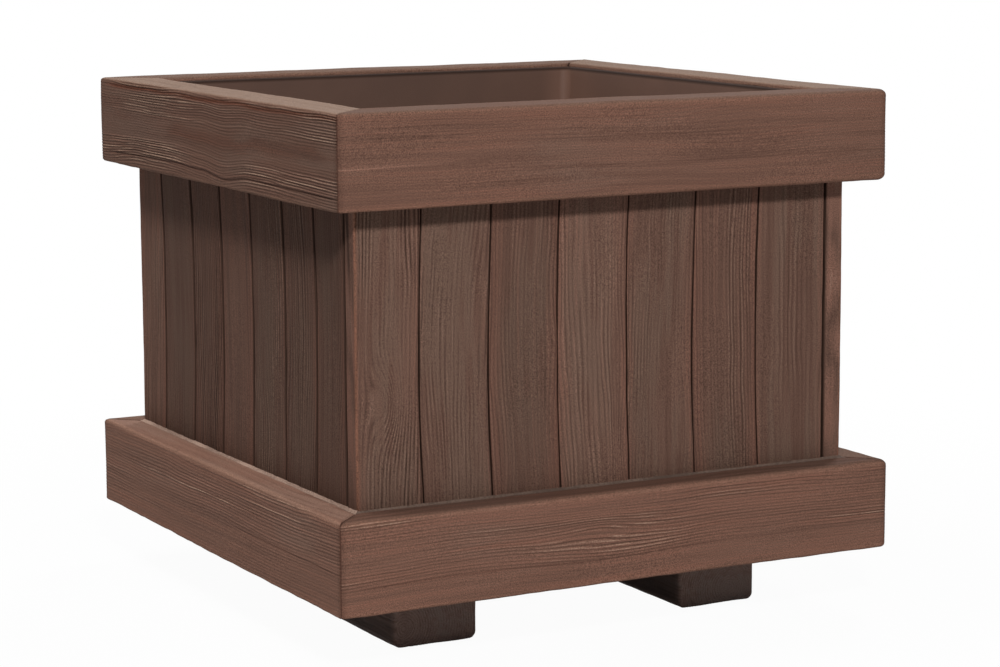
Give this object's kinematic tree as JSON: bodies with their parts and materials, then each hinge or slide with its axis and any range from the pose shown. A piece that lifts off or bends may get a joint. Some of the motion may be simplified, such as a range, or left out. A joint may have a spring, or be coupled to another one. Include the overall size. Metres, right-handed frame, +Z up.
{
  "type": "square planter",
  "caption": "Square timber planter box with upright boarded walls, mitred rim and base rails, a pair of skids underneath and a smooth liner that lifts out.",
  "frame": {"origin": "middle of the footprint, on the floor under the skids", "axes": "+Z up; the front, where the skids show their ends, faces -Y; +X to the right seen from the front"},
  "size_m": [0.608, 0.608, 0.525],
  "materials": {
    "rail_timber": "reddish brown stain over raised grain",
    "board_timber": "dark brown stain over raised upright grain",
    "skid_timber": "very dark stain, growth rings on the ends",
    "inner_timber": "sawn, thin brown stain",
    "liner_plastic": "dark brown, smooth moulded",
    "nail_steel": "bright drawn wire"
  },
  "bodies": {
    "planter": {"rim_rail_front": "rail_timber", "rim_rail_right": "rail_timber", "rim_rail_back": "rail_timber", "rim_rail_left": "rail_timber", "base_rail_front": "rail_timber", "base_rail_right": "rail_timber", "base_rail_back": "rail_timber", "base_rail_left": "rail_timber", "front_board_1": "board_timber", "front_board_2": "board_timber", "front_board_3": "board_timber", "front_board_4": "board_timber", "front_board_5": "board_timber", "front_board_6": "board_timber", "front_board_7": "board_timber", "right_board_1": "board_timber", "right_board_2": "board_timber", "right_board_3": "board_timber", "right_board_4": "board_timber", "right_board_5": "board_timber", "right_board_6": "board_timber", "right_board_7": "board_timber", "back_board_1": "board_timber", "back_board_2": "board_timber", "back_board_3": "board_timber", "back_board_4": "board_timber", "back_board_5": "board_timber", "back_board_6": "board_timber", "back_board_7": "board_timber", "left_board_1": "board_timber", "left_board_2": "board_timber", "left_board_3": "board_timber", "left_board_4": "board_timber", "left_board_5": "board_timber", "left_board_6": "board_timber", "left_board_7": "board_timber", "skid_left": "skid_timber", "skid_right": "skid_timber", "ledger_front": "inner_timber", "ledger_right": "inner_timber", "ledger_back": "inner_timber", "ledger_left": "inner_timber", "floor_slat_1": "inner_timber", "floor_slat_2": "inner_timber", "floor_slat_3": "inner_timber", "floor_slat_4": "inner_timber", "floor_slat_5": "inner_timber", "floor_slat_6": "inner_timber", "rim_nails": "nail_steel", "base_nails": "nail_steel", "ledger_nails": "nail_steel", "floor_nails": "nail_steel"},
    "liner": {"liner": "liner_plastic"}
  },
  "joints": [
    {"name": "liner_lift", "type": "slide", "parent": "planter", "child": "liner", "axis": [0, 0, 1], "range_m": [0, 0.43]}
  ]
}
